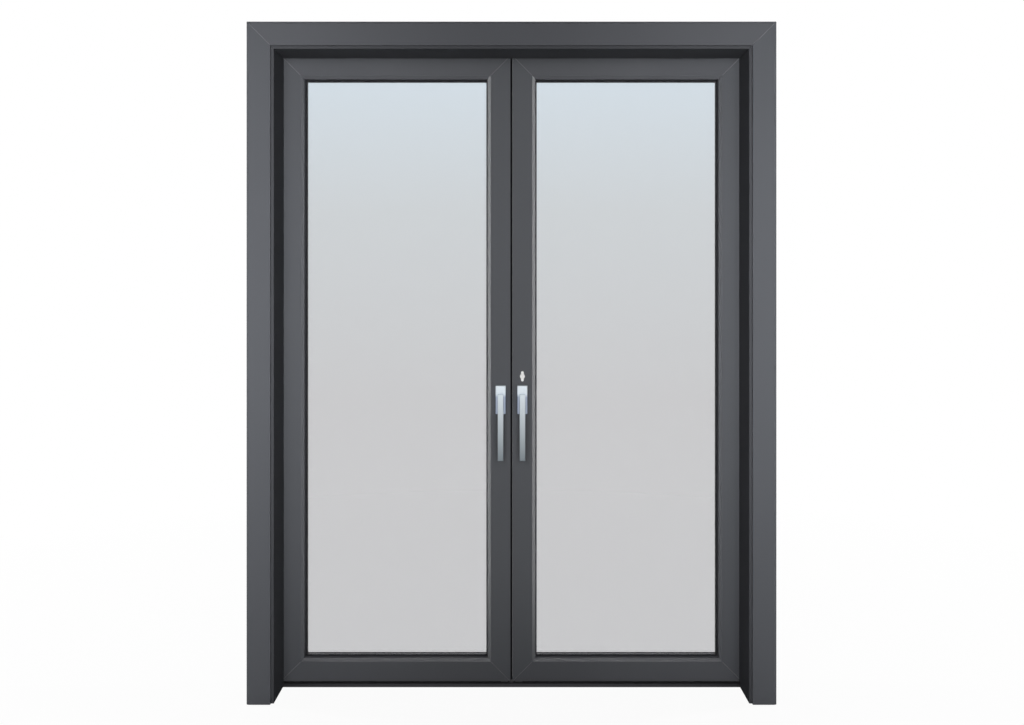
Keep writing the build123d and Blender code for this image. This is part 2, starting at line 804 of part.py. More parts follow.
def lock():
    """Key cylinder with its escutcheon and plug, the lock case, the deadbolt and its strike."""
    proud_front = leaf_front - cylinder_proud
    rear_end = leaf_rear + rest_clearance
    with BuildPart() as cylinder:
        with BuildSketch(facing(proud_front, spindle_x, key_height)):
            Circle(cylinder_radius)
        extrude(amount=-(rear_end - proud_front))
        with BuildSketch(facing(proud_front, spindle_x, key_height)):
            Circle(plug_radius + plug_clearance)
        extrude(amount=-plug_length, mode=Mode.SUBTRACT)
    save(cylinder, "lock_cylinder")

    with BuildPart() as plug:
        with BuildSketch(facing(proud_front, spindle_x, key_height)):
            Circle(plug_radius)
        extrude(amount=-(plug_length - plug_clearance))
        with BuildSketch(facing(proud_front, spindle_x, key_height)):
            Rectangle(keyway_width, keyway_height)
        extrude(amount=-keyway_depth, mode=Mode.SUBTRACT)
    save(plug, "key_plug")

    with BuildPart() as escutcheon:
        with BuildSketch(facing(leaf_front, spindle_x, key_height)):
            SlotOverall(escutcheon_height, escutcheon_width, rotation=90)
            Circle(cylinder_radius + escutcheon_rim)
            Circle(cylinder_radius + cylinder_clearance, mode=Mode.SUBTRACT)
        extrude(amount=escutcheon_depth)
    save(escutcheon, "key_escutcheon")

    case_start = meeting_edge + chamber_start
    case_end = spindle_x + rack_root - rod_clearance
    bolt_start = meeting_edge + rod_end_inset
    half_bolt = bolt_height / 2
    case_low = key_height - cylinder_radius - cylinder_clearance - case_wall * 2
    with BuildPart() as case:
        block(
            (case_start, -lock_case_depth / 2, case_low),
            (case_end, lock_case_depth / 2, case_low + lock_case_height),
        )
        block(
            (case_start, -bolt_depth / 2 - rod_clearance, bolt_z - half_bolt - rod_clearance),
            (case_end, bolt_depth / 2 + rod_clearance, bolt_z + half_bolt + rod_clearance),
            mode=Mode.SUBTRACT,
        )
        with BuildSketch(facing(-lock_case_depth / 2, spindle_x, key_height)):
            Circle(cylinder_radius + cylinder_clearance)
        extrude(amount=-lock_case_depth, mode=Mode.SUBTRACT)
    save(case, "lock_case")

    with BuildPart() as bolt:
        block(
            (bolt_start, -bolt_depth / 2, bolt_z - half_bolt),
            (bolt_start + bolt_length, bolt_depth / 2, bolt_z + half_bolt),
        )
    save(bolt, "deadbolt")

    slot_depth = bolt_depth / 2 + socket_clearance
    slot_reach = half_bolt + socket_clearance
    with BuildPart() as strike:
        block(
            (-meeting_edge, -groove_width / 2, bolt_z - strike_height / 2),
            (-meeting_edge - strike_thickness, groove_width / 2, bolt_z + strike_height / 2),
        )
        block(
            (-meeting_edge, -slot_depth, bolt_z - slot_reach),
            (-meeting_edge - strike_thickness, slot_depth, bolt_z + slot_reach),
            mode=Mode.SUBTRACT,
        )
    save(strike, "left_deadbolt_strike")


def meeting_seal():
    """Round-nosed rubber strip on the left leaf's meeting edge, clear of both leaves' swing."""
    y_low = leaf_front + meeting_seal_setback
    nose = meeting_seal_depth / 2
    with BuildPart() as seal:
        with BuildSketch(Plane.XY.offset(leaf_bottom)):
            with Locations((-meeting_edge, y_low)):
                Rectangle(meeting_seal_reach - nose, meeting_seal_depth, align=(Align.MIN, Align.MIN))
            with Locations((-meeting_edge + meeting_seal_reach - nose, y_low + nose)):
                Circle(nose)
            with Locations((-meeting_edge, y_low)):
                Rectangle(nose, meeting_seal_depth, align=(Align.MAX, Align.MIN), mode=Mode.SUBTRACT)
        extrude(amount=leaf_top - leaf_bottom)
    save(seal, "left_meeting_seal")


casing()
lining()
frame()
threshold()
hinge_pins()
for word, side in sides:
    sash(word, side)
    glazing(word, side)
    hinges(word, side)
    handles(word, side)
lock()
meeting_seal()
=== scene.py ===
"""Finishes, small fittings and stage of an aluminium double casement door.

The packed model is a fixed frame: its solids keep their places and get procedural finishes. Rubber lips,
lines of sealant, screw heads and a plain stage are added round it. Metres, +Z up, in the model's frame.
"""

import json
import math

import bpy
import numpy as np
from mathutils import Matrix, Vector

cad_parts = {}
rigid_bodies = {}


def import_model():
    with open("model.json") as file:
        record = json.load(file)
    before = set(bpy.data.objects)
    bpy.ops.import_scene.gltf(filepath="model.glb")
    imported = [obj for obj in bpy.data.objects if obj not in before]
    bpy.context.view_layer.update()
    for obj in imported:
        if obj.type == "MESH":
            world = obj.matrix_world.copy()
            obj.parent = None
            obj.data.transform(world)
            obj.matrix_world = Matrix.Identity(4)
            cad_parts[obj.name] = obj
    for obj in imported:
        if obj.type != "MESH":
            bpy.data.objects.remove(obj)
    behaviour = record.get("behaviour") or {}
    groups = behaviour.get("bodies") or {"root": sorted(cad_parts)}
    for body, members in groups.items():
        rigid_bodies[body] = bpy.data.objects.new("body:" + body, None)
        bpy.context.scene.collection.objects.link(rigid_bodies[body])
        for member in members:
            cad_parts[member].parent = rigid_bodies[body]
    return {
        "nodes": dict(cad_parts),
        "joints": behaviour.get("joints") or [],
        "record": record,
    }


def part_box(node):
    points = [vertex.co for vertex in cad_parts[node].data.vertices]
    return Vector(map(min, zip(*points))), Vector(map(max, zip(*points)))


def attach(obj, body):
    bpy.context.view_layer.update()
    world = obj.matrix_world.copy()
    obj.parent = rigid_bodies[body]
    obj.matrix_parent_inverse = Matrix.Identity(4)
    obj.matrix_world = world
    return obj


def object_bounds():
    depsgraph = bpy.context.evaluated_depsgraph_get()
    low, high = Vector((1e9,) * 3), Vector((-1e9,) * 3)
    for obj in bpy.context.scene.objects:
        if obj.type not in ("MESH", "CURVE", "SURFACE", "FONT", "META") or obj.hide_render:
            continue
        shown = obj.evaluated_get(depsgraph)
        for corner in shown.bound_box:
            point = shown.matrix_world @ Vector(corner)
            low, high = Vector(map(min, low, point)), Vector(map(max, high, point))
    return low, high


bl_info = {
    "name": "Aluminium Casement Door Looks",
    "version": (1, 0, 0),
    "blender": (4, 5, 0),
    "location": "3D View > Sidebar > Door",
    "description": "Finishes, rubber lips, screw heads and stage of an aluminium double casement door",
    "category": "Object",
}

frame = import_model()
cad_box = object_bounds()
solids = frame["nodes"]
slot_nodes = {}
for subpart in frame["record"]["subparts"]:
    slot_nodes.setdefault(subpart["material_slot"], []).append(subpart["node"])

LEAVES = ("left", "right")
IMAGE_WIDTH = 1024
IMAGE_HEIGHT = 725
HORIZON_ROW = 280.5
MIDDLE_COLUMN = 511.5
WHITE = (1.0, 1.0, 1.0, 1.0)
GLASS_IOR = 1.5
FLOOR_SIDES = 64

# Coordinates that lie nearer than this are taken as one place, in metres.
SAME_PLACE = 1e-5

# Faces that turn less than the first angle count as one. Edges that turn more than the second are eased.
FLAT_TURN = math.radians(1)
SHARP_TURN = math.radians(25)
EDGE_SEGMENTS = 2
WELD_SHARE = 0.05

# Sockets of a Mix node that mixes colours: its two colours and its result.
MIX_FIRST, MIX_SECOND, MIX_RESULT = 6, 7, 2

# Least roughness of each metal, and how far its brush marks are drawn out along X, Y and Z.
METAL_GRAIN = {
    "lever_chrome": (0.25, (1, 1, 60)),
    "base_chrome": (0.25, (1, 1, 60)),
    "mill_aluminium": (0.37, (1, 1, 40)),
    "satin_nickel": (0.19, (1, 1, 30)),
    "zinc_plate": (0.29, (1, 1, 25)),
    "screw_steel": (0.23, (1, 1, 1)),
}
SILL_STRETCH = (120, 1, 1)

# Lamps on the right of the door, each with its place, its target and its size. The left ones mirror them.
SIDE_LAMPS = {
    "high_softbox": ((1.2, -3.6, 2.35), (0.7, 0.0, 1.9), (0.4, 1.2)),
    "edge_softbox": ((0.6, -3.0, 1.5), (1.3, 0.0, 1.6), (0.4, 2.2)),
    "rear_softbox": ((1.4, 3.4, 3.2), (0.5, 0.0, 1.2), (0.4, 1.2)),
    "side_softbox": ((3.6, 0.5, 3.0), (0.9, 0.0, 1.2), (0.4, 1.2)),
    "glint": ((1.5, -0.6, 1.3), (0.09, 0.0, 1.3), (0.12, 2.4)),
}
SILL_GLINT = ((0.0, -2.2, 2.56), (0.0, 0.0, 0.1), (2.4, 0.12))


def colour_property(name, description, default):
    """A colour in linear red, green and blue."""
    return bpy.props.FloatVectorProperty(
        name=name, description=description, default=default, subtype="COLOR", size=3, min=0.0, max=1.0
    )


def length_property(name, description, default):
    """A length in metres."""
    return bpy.props.FloatProperty(name=name, description=description, default=default, unit="LENGTH")


def power_property(name, description, default):
    """A lamp's power in watts."""
    return bpy.props.FloatProperty(name=name, description=description, default=default, subtype="POWER")


def angle_property(name, description, degrees):
    """An angle, given in degrees."""
    return bpy.props.FloatProperty(
        name=name, description=description, default=math.radians(degrees), subtype="ANGLE"
    )


def share_property(name, description, default):
    """A number from 0 to 1."""
    return bpy.props.FloatProperty(
        name=name, description=description, default=default, subtype="FACTOR", min=0.0, max=1.0
    )


class DoorCoat(bpy.types.PropertyGroup):
    """Powder coat of the extrusions"""

    upright: colour_property("Uprights", "Coat on the vertical bars", (0.088, 0.092, 0.102))
    # Painted light: the rails' coat is the uprights' coat made a little paler, to brighten the head and
    # rails.
    rail: colour_property("Rails", "Coat on the horizontal bars", (0.090, 0.093, 0.103))
    # Painted shade: the lining and frame get a darker copy of the coat, for the shade in the reveal.
    reveal: colour_property("Reveal", "Coat on the lining and the frame", (0.066, 0.068, 0.075))
    hinge: colour_property("Hinges", "Coat on the hinge flaps and pins", (0.060, 0.062, 0.069))
    roughness: share_property("Roughness", "Mean roughness of the coat", 0.52)
    shine: share_property("Shine", "Specular level of the coat", 0.10)
    reveal_shine: share_property("Reveal shine", "Specular level of the lining's and frame's coat", 0.0)
    cloud_size: length_property("Cloud size", "Width of the faint clouds in the coat's tone", 0.45)
    peel_size: length_property("Peel size", "Width of the orange peel in the coat", 0.0016)
    peel_depth: length_property("Peel depth", "Depth of the orange peel in the coat", 0.00004)
    grit_size: length_property("Grit size", "Width of the grit in the coat", 0.00032)
    grit_tone: share_property("Grit in tone", "Share of grit in the coat's tone", 0.2)
    grit_peel: share_property("Grit in peel", "Share of grit in the orange peel", 0.25)
    grit_rough: share_property("Grit in roughness", "How far grit moves the roughness either way", 0.08)
    tone_swing: share_property("Tone swing", "How far the coat's tone strays either way", 0.07)
    sealant: colour_property(
        "Mitre sealant", "Sealant in the mitres of leaves and casing", (0.165, 0.170, 0.184)
    )
    sealant_width: length_property("Sealant width", "Width of the line of sealant in a mitre", 0.0020)
    sealant_rise: length_property("Sealant rise", "How far the sealant stands out from a leaf", 0.0001)
    sealant_depth: length_property("Sealant depth", "How far the sealant goes into a mitre", 0.0006)
    edge: length_property("Eased edge", "Width of the rounding on the extrusions' edges", 0.0009)


class DoorGlazing(bpy.types.PropertyGroup):
    """Panes and the rubber round them"""

    # Tints of a pane by height: the glass's own grey, with a painted sky reflection that turns it blue
    # higher up.
    low_tint_and_reflection: colour_property("Low tint", "Tint of a pane below mid-height", (0.757, 0.757, 0.765))
    middle_tint_and_reflection: colour_property("Middle tint", "Tint of a pane at about eye height", (0.775, 0.794, 0.808))
    top_tint_and_reflection: colour_property("Top tint", "Tint of a pane at its top", (0.800, 0.846, 0.882))
    low_height: length_property("Low height", "Height up to which the low tint holds", 1.05)
    middle_height: length_property("Middle height", "Height of the middle tint", 1.75)
    rubber: colour_property("Rubber", "Colour of gaskets and seals", (0.012, 0.012, 0.014))
    rubber_rough: share_property("Rubber roughness", "Least roughness of the rubber", 0.62)
    rubber_shine: share_property("Rubber shine", "Specular level of the rubber", 0.3)
    bloom: share_property("Bloom", "How much paler than the rubber its bloom is", 0.6)
    bloom_rough: share_property("Bloom roughness", "How much rougher than the rubber its bloom is", 0.18)
    bloom_size: length_property("Bloom size", "Width of the patches of bloom", 0.03)
    line_size: length_property("Line size", "Width of the fine marks in the rubber", 0.0006)
    line_depth: length_property("Line depth", "Depth of the fine marks in the rubber", 0.00003)
    lip_reach: length_property("Lip reach", "How far a gasket's lip stands over the pane", 0.0022)
    lip_root: length_property("Lip root", "How far a gasket's lip goes back into the gasket", 0.0004)
    lip_room: length_property("Lip room", "Room between a gasket's lip and its neighbours", 0.0001)
    blade_root: length_property("Blade root", "Thickness of the meeting seal's blade at its root", 0.0016)
    blade_tip: length_property("Blade tip", "Thickness of the meeting seal's blade at its tip", 0.0007)
    blade_sweep: length_property("Blade sweep", "How far the meeting seal's blade bends back", 0.0022)
    blade_room: length_property("Blade room", "Room between the blade's tip and the other stile", 0.0002)


class DoorMetals(bpy.types.PropertyGroup):
    """Bare and plated metals"""

    # Painted reflection: a handle's chrome is pale at its top and darkens down the lever to its tip.
    handle_top_painted_reflection: colour_property("Handle top", "Satin chrome at the top of a handle", (0.80, 0.87, 0.92))
    # Painted shade: a base is darker and bluer beside its lever, below the lever's top.
    base_foot_painted_shade: colour_property(
        "Base foot", "Satin chrome of a handle's base beside its lever", (0.41, 0.47, 0.59)
    )
    lever_tip_painted_reflection: colour_property("Lever tip", "Satin chrome at the tip of a lever", (0.20, 0.23, 0.25))
    nickel: colour_property("Nickel", "Satin nickel of the key cylinder", (0.86, 0.86, 0.85))
    zinc: colour_property("Zinc", "Plating of bolts, rods and screws", (0.58, 0.58, 0.60))
    aluminium: colour_property("Aluminium", "Mill finish of cleats and spacers", (0.62, 0.63, 0.65))
    anodised: colour_property("Anodised", "Dark anodised threshold", (0.030, 0.030, 0.034))
    base_shade_fade: length_property("Base fade", "Height over which a handle's base darkens", 0.012)
    grain_size: length_property("Grain size", "Width of the brush marks", 0.0004)
    grain_depth: length_property("Grain depth", "Depth of the brush marks", 0.00001)
    mark_share: share_property("Mark share", "How much of a brush mark's darker tone shows", 0.25)
    mark_dark: share_property("Mark darkness", "How much darker than the metal a brush mark is", 0.2)
    mark_rough: share_property("Mark roughness", "How much rougher than the metal a brush mark is", 0.08)
    smear_size: length_property("Smear size", "Width of the smears on the metals", 0.02)
    smear_rough: share_property("Smear roughness", "How much rougher than the metal a smear is", 0.04)
    patch_size: length_property("Patch size", "Width of the patches in a plated metal's tone", 0.012)
    patch_dark: share_property("Patch darkness", "How much darker than the metal a patch is", 0.12)
    sill_metallic: share_property("Sill metallic", "How metallic the anodised threshold is", 0.6)
    sill_rough: share_property("Sill roughness", "Least roughness of the threshold", 0.42)
    sill_line_rough: share_property("Sill line roughness", "How much rougher the sill's lines are", 0.16)
    sill_line_depth: length_property("Sill line depth", "Depth of the lines along the sill", 0.00002)
    scuff: share_property("Scuff", "How much paler than the threshold its scuffs are", 0.5)
    scuff_size: length_property("Scuff size", "Width of the scuffs on the threshold", 0.05)


class DoorScrews(bpy.types.PropertyGroup):
    """Screw heads in hinges, keepers and strike"""

    radius: length_property("Head radius", "Radius of a hinge screw's head", 0.0045)
    small_radius: length_property("Small radius", "Radius of a keeper screw's head", 0.0032)
    rise: length_property("Rise", "How far a head stands proud", 0.0009)
    slot_depth: length_property("Slot depth", "Depth of the cross slot", 0.0011)
    slot_half: share_property("Slot half width", "Half of the slot's width, as a share of the radius", 0.2)
    slot_reach: share_property("Slot reach", "How far out the slot goes, as a share of the radius", 0.6)
    seat: length_property("Seat", "How far a head sits in its plate", 0.0006)
    flap_inset: length_property("Flap inset", "Distance of a screw from a flap's free edge", 0.0115)
    end_inset: length_property("End inset", "Distance of a flap's end screws from its ends", 0.0145)
    keeper_inset: length_property("Keeper inset", "Distance of a screw from a keeper's end", 0.0075)
    keeper_gap: length_property("Keeper gap", "Points farther apart are on two keepers", 0.0128)
    flap_gap: length_property("Flap gap", "Points farther apart are on two hinges", 0.116)


class DoorStage(bpy.types.PropertyGroup):
    """Camera, lamps and surroundings"""

    distance: length_property("Distance", "From the casing's front to the camera", 3.819)
    eye_height: length_property("Eye height", "Height of the camera over the floor", 1.49)
    lens: bpy.props.FloatProperty(
        name="Lens", description="Focal length in millimetres", default=38.25, subtype="DISTANCE_CAMERA"
    )
    floor: colour_property("Floor", "Pale floor", (0.86, 0.86, 0.86))
    floor_reach: length_property("Floor reach", "Radius of the floor", 14.0)
    shadow_share: share_property("Shadow share", "How much shading the floor shows near the door", 0.05)
    fade_start: length_property("Fade start", "Where the floor's shading begins to fade", 1.2)
    fade_width: length_property("Fade width", "Width over which the floor's shading fades", 2.5)
    ambient: share_property("Ambient", "Light of the surroundings on matt surfaces", 0.05)
    high_power: power_property("High power", "Power of each softbox high beside the camera", 25.0)
    edge_power: power_property("Edge power", "Power of each gridded softbox that is turned to a jamb", 13.0)
    edge_spread: angle_property("Edge spread", "Spread of the gridded softboxes", 60)
    rear_power: power_property("Rear power", "Power of each softbox behind the door", 40.0)
    side_power: power_property("Side power", "Power of each softbox beside the door", 60.0)
    glint_power: power_property("Glint power", "Power of each strip that glints on a stile's bevel", 14.0)
    sill_power: power_property("Sill power", "Power of the strip that glints on the rails' bevels", 10.0)
    glint_spread: angle_property("Glint spread", "Spread of the glinting strips", 28)


SETTINGS = {
    "door_coat": DoorCoat,
    "door_glazing": DoorGlazing,
    "door_metals": DoorMetals,
    "door_screws": DoorScrews,
    "door_stage": DoorStage,
}


class Socket:
    """A shader value that takes part in Python sums: each operator adds one Math node to its tree."""

    def __init__(self, finish, socket):
        self.finish = finish
        self.socket = socket

    def math(self, operation, first, second):
        return self.finish.node("ShaderNodeMath", {"operation": operation}, {0: first, 1: second})

    def __add__(self, other):
        return self.math("ADD", self, other)

    def __radd__(self, other):
        return self.math("ADD", other, self)

    def __sub__(self, other):
        return self.math("SUBTRACT", self, other)

    def __rsub__(self, other):
        return self.math("SUBTRACT", other, self)

    def __mul__(self, other):
        return self.math("MULTIPLY", self, other)

    def __rmul__(self, other):
        return self.math("MULTIPLY", other, self)

    def __truediv__(self, other):
        return self.math("DIVIDE", self, other)

    def __rtruediv__(self, other):
        return self.math("DIVIDE", other, self)


class Finish:
    """A node tree of a material or the world, with one method that adds any node."""

    def __init__(self, owner):
        self.owner = owner
        owner.use_nodes = True
        self.tree = owner.node_tree
        self.tree.nodes.clear()

    @classmethod
    def material(cls, name):
        finish = cls(bpy.data.materials.new(name))
        finish.place = finish.node("ShaderNodeTexCoord", output="Object")
        return finish

    def node(self, kind, settings=None, sockets=None, output=0):
        """Adds a node: its type, its settings, then the values or links of its sockets."""
        added = self.tree.nodes.new(kind)
        for key, value in (settings or {}).items():
            if key == "stops":
                self.set_stops(added.color_ramp, value)
            else:
                setattr(added, key, value)
        for key, value in (sockets or {}).items():
            if isinstance(value, Socket):
                self.tree.links.new(value.socket, added.inputs[key])
            else:
                added.inputs[key].default_value = value
        return Socket(self, added.outputs[output]) if added.outputs else None

    @staticmethod
    def set_stops(ramp, stops):
        """Gives a colour ramp its stops, each a place from 0 to 1 and a colour."""
        while len(ramp.elements) < len(stops):
            ramp.elements.new(1.0)
        for element, (place, colour) in zip(ramp.elements, stops):
            element.position = place
            element.color = (*colour, 1.0)

    def noise(self, size, detail, stretch=(1, 1, 1)):
        """Noise from 0 to 1 whose marks are about size wide, drawn out along each axis by stretch."""
        scale = tuple(1.0 / (size * way) for way in stretch)
        point = self.node("ShaderNodeMapping", None, {"Vector": self.place, "Scale": scale})
        return self.node("ShaderNodeTexNoise", None, {"Vector": point, "Scale": 1.0, "Detail": detail})

    def axis(self, name):
        """One coordinate of the place on the object, in metres."""
        return self.node("ShaderNodeSeparateXYZ", None, {0: self.place}, name)

    def blend(self, share, first, second):
        """A colour between two colours, of which the first can be a socket."""
        colours = {
            MIX_FIRST: first if isinstance(first, Socket) else (*first, 1.0),
            MIX_SECOND: (*second, 1.0),
        }
        return self.node("ShaderNodeMix", {"data_type": "RGBA"}, {0: share, **colours}, MIX_RESULT)

    def surface(self, sockets, height=None, depth=0.0):
        """Ends the tree in one Principled shader, with height as bumps of the given depth."""
        if height is not None:
            bump = {"Height": height, "Strength": 1.0, "Distance": depth}
            sockets = {**sockets, "Normal": self.node("ShaderNodeBump", None, bump, "Normal")}
        shader = self.node("ShaderNodeBsdfPrincipled", None, sockets)
        self.node("ShaderNodeOutputMaterial", None, {"Surface": shader})
        return self.owner


def scaled(colour, factor):
    """A colour times a number."""
    return tuple(part * factor for part in colour)


def powder_coat(name, colour, coat, shine):
    """Matt powder coat: faint clouds in its tone, fine orange peel, and grit that breaks up its shine."""
    finish = Finish.material(name)
    cloud = finish.noise(coat.cloud_size, detail=3)
    peel = finish.noise(coat.peel_size, detail=2)
    grit = finish.noise(coat.grit_size, detail=1)
    tone = (1 - coat.grit_tone) * cloud + coat.grit_tone * grit
    height = (1 - coat.grit_peel) * peel + coat.grit_peel * grit
    dark, pale = (scaled(colour, 1 + way * coat.tone_swing) for way in (-1, 1))
    sockets = {
        "Base Color": finish.blend(tone, dark, pale),
        "Roughness": coat.roughness - coat.grit_rough + 2 * coat.grit_rough * grit,
        "Specular IOR Level": shine,
    }
    return finish.surface(sockets, height, coat.peel_depth)


def pane_glass(glazing, top):
    """Clear sheet with a grey tint and a painted sky reflection that turns it blue towards its top."""
    finish = Finish.material("pane_glass")
    height = finish.axis("Z") / top
    # Painted reflection: stops by height that make the pane bluer towards its top.
    stops = [
        (glazing.low_height / top, glazing.low_tint_and_reflection),
        (glazing.middle_height / top, glazing.middle_tint_and_reflection),
        (1.0, glazing.top_tint_and_reflection),
    ]
    sockets = {
        "Base Color": finish.node("ShaderNodeValToRGB", {"stops": stops}, {"Fac": height}),
        "Roughness": 0.0,
        "IOR": GLASS_IOR,
        "Transmission Weight": 1.0,
    }
    return finish.surface(sockets)


def rubber(glazing):
    """Black extruded rubber: dull, with fine marks and a little bloom."""
    finish = Finish.material("black_rubber")
    bloom = finish.noise(glazing.bloom_size, detail=3)
    marks = finish.noise(glazing.line_size, detail=1)
    sockets = {
        "Base Color": finish.blend(bloom, glazing.rubber, scaled(glazing.rubber, 1 + glazing.bloom)),
        "Roughness": glazing.rubber_rough + glazing.bloom_rough * bloom,
        "Specular IOR Level": glazing.rubber_shine,
    }
    return finish.surface(sockets, marks, glazing.line_depth)


def brushed_metal(finish, name, low, high, share, metals):
    """Bare metal whose colour goes from low to high by a share, with smears and drawn-out brush marks."""
    rough, stretch = METAL_GRAIN[name]
    marks = finish.noise(metals.grain_size, 3, stretch)
    smear = finish.noise(metals.smear_size, detail=2)
    colour = finish.blend(share, low, high)
    sockets = {
        "Base Color": finish.blend(metals.mark_share * marks, colour, scaled(low, 1 - metals.mark_dark)),
        "Metallic": 1.0,
        "Roughness": rough + metals.mark_rough * marks + metals.smear_rough * smear,
    }
    return finish.surface(sockets, marks, metals.grain_depth)


def satin_chrome(name, low, metals, z_low, z_high):
    """Satin chrome, brushed upright, with painted reflection and shade that make it paler from one height
    to another.
    """
    finish = Finish.material(name)
    rise = (finish.axis("Z") - z_low) / (z_high - z_low)
    share = finish.node("ShaderNodeClamp", None, {"Value": rise})
    return brushed_metal(finish, name, low, metals.handle_top_painted_reflection, share, metals)


def plain_metal(name, colour, metals):
    """Plated or mill-finished metal with patchy tone and drawn-out marks."""
    finish = Finish.material(name)
    patches = finish.noise(metals.patch_size, detail=3)
    return brushed_metal(finish, name, scaled(colour, 1 - metals.patch_dark), colour, patches, metals)


def dark_anodised(metals):
    """Dark anodised aluminium with lines along the sill and dust-pale scuffs."""
    finish = Finish.material("dark_anodised")
    lines = finish.noise(metals.grain_size, 2, SILL_STRETCH)
    scuff = finish.noise(metals.scuff_size, detail=4)
    sockets = {
        "Base Color": finish.blend(scuff, metals.anodised, scaled(metals.anodised, 1 + metals.scuff)),
        "Metallic": metals.sill_metallic,
        "Roughness": metals.sill_rough + metals.sill_line_rough * lines,
    }
    return finish.surface(sockets, lines, metals.sill_line_depth)


def paint(names, material):
    """Gives CAD solids one material."""
    for name in names:
        mesh = solids[name].data
        mesh.materials.clear()
        mesh.materials.append(material)


def ease_edges(names, width):
    """Rounds the sharp edges of CAD solids with live modifiers, once their loose faces are joined."""
    for name in names:
        join = solids[name].modifiers.new("joined", "WELD")
        join.merge_threshold = width * WELD_SHARE
        flat = solids[name].modifiers.new("whole faces", "DECIMATE")
        flat.decimate_type = "DISSOLVE"
        flat.angle_limit = FLAT_TURN
        ease = solids[name].modifiers.new("eased edges", "BEVEL")
        ease.width = width
        ease.segments = EDGE_SEGMENTS
        ease.limit_method = "ANGLE"
        ease.angle_limit = SHARP_TURN
        ease.harden_normals = True


def vertices(name):
    """A CAD solid's vertices as an array."""
    mesh = solids[name].data
    points = np.empty(len(mesh.vertices) * 3, np.float32)
    mesh.vertices.foreach_get("co", points)
    return points.reshape(-1, 3).astype(float)


def levels(name, axis):
    """The distinct coordinates of a CAD solid along an axis, in order."""
    values = np.sort(vertices(name)[:, axis])
    return values[np.concatenate(([True], np.diff(values) > SAME_PLACE))]


def spans(values, gap):
    """Lowest and highest value of each run of values that has no gap as wide as the given one."""
    ordered = np.sort(values)
    breaks = np.flatnonzero(np.diff(ordered) > gap)
    starts = np.concatenate(([0], breaks + 1))
    ends = np.concatenate((breaks, [len(ordered) - 1]))
    return np.stack((ordered[starts], ordered[ends]), 1)


def grid_quads(index, wrap=False):
    """Quads between neighbours in a grid of vertex numbers, which can wrap in both directions."""
    if wrap:
        index = np.pad(index, ((0, 1), (0, 1)), mode="wrap")
    corners = (index[:-1, :-1], index[1:, :-1], index[1:, 1:], index[:-1, 1:])
    return np.stack([corner.ravel() for corner in corners], 1)


def outward(points, quads):
    """The quads of a closed shape, wound so that its signed volume is positive."""
    a, b, c, d = (points[quads[:, k]] for k in range(4))
    volume = np.sum(a * np.cross(b, c)) + np.sum(a * np.cross(c, d))
    return quads if volume > 0 else quads[:, ::-1]


def add_piece(name, points, quads, body, material):
    """A mesh of whole arrays as an object at the origin that rides on a body."""
    if not np.isfinite(points).all():
        raise ValueError(f"{name} has points that aren't numbers")
    mesh = bpy.data.meshes.new(name)
    mesh.from_pydata(points.tolist(), [], outward(points, quads).tolist())
    mesh.materials.append(material)
    mesh.polygons.foreach_set("use_smooth", np.ones(len(quads), bool))
    piece = bpy.data.objects.new(name, mesh)
    bpy.context.scene.collection.objects.link(piece)
    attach(piece, body)


def mitred_ring(x_range, z_range, insets, depths):
    """A closed profile carried round a rectangle in the X-Z plane.

    Point (k, j) is corner k moved inwards by insets[j] along both of its sides, at depth depths[j] along Y,
    so the four runs mitre themselves.
    """
    corners = np.array(((-1, -1), (1, -1), (1, 1), (-1, 1)))[:, None, :]
    low = np.array((x_range[0], z_range[0]))
    high = np.array((x_range[1], z_range[1]))
    flat = (low + high) / 2 + corners * ((high - low) / 2 - insets[None, :, None])
    points = np.stack((flat[..., 0], np.broadcast_to(depths, flat.shape[:2]), flat[..., 1]), -1)
    index = np.arange(points.shape[0] * points.shape[1]).reshape(points.shape[:2])
    return points.reshape(-1, 3), grid_quads(index, wrap=True)


def slab(near, far):
    """A closed shape between two sheets on the same grid, joined by strips round their edges."""
    index = np.arange(near.shape[0] * near.shape[1]).reshape(near.shape[:2])
    rim = np.concatenate((index[0, :-1], index[:-1, -1], index[-1, :0:-1], index[:0:-1, 0]))
    ahead = np.roll(rim, -1)
    strip = np.stack((rim, ahead, ahead + index.size, rim + index.size), 1)
    quads = np.concatenate((grid_quads(index), grid_quads(index + index.size)[:, ::-1], strip))
    return np.concatenate((near.reshape(-1, 3), far.reshape(-1, 3))), quads


def mitre_ends(bar):
    """Ends of a bar's mitres on its front face, at its top and at its foot. A square end has no mitre."""
    points = vertices(bar)
    face = points[points[:, 1] < points[:, 1].min() + SAME_PLACE]
    edges = [face[abs(face[:, 0] - x) < SAME_PLACE] for x in (face[:, 0].min(), face[:, 0].max())]
    ends = [[edge[pick(edge[:, 2])] for edge in edges] for pick in (np.argmax, np.argmin)]
    return [(first, second) for first, second in ends if abs(first[2] - second[2]) > SAME_PLACE]


def sealant_lines(ends, coat, rise):
    """Flat bars along straight lines on front faces, each half its width to either side of its line.

    Each goes from rise in front of the face to the sealant's depth behind it, and stops its width short
    of both ends.
    """
    shapes = []
    for first, second in ends:
        way = (second - first) / np.linalg.norm(second - first)
        side = np.cross(way, (0.0, 1.0, 0.0)) * coat.sealant_width / 2
        line = np.stack((first + way * coat.sealant_width, second - way * coat.sealant_width))
        face = line[:, None] + np.stack((-side, side))[None]
        shapes.append(slab(face - (0.0, rise, 0.0), face + (0.0, coat.sealant_depth, 0.0)))
    points = np.concatenate([shape[0] for shape in shapes])
    counts = np.cumsum([0] + [len(shape[0]) for shape in shapes[:-1]])
    return points, np.concatenate([shape[1] + start for shape, start in zip(shapes, counts)])


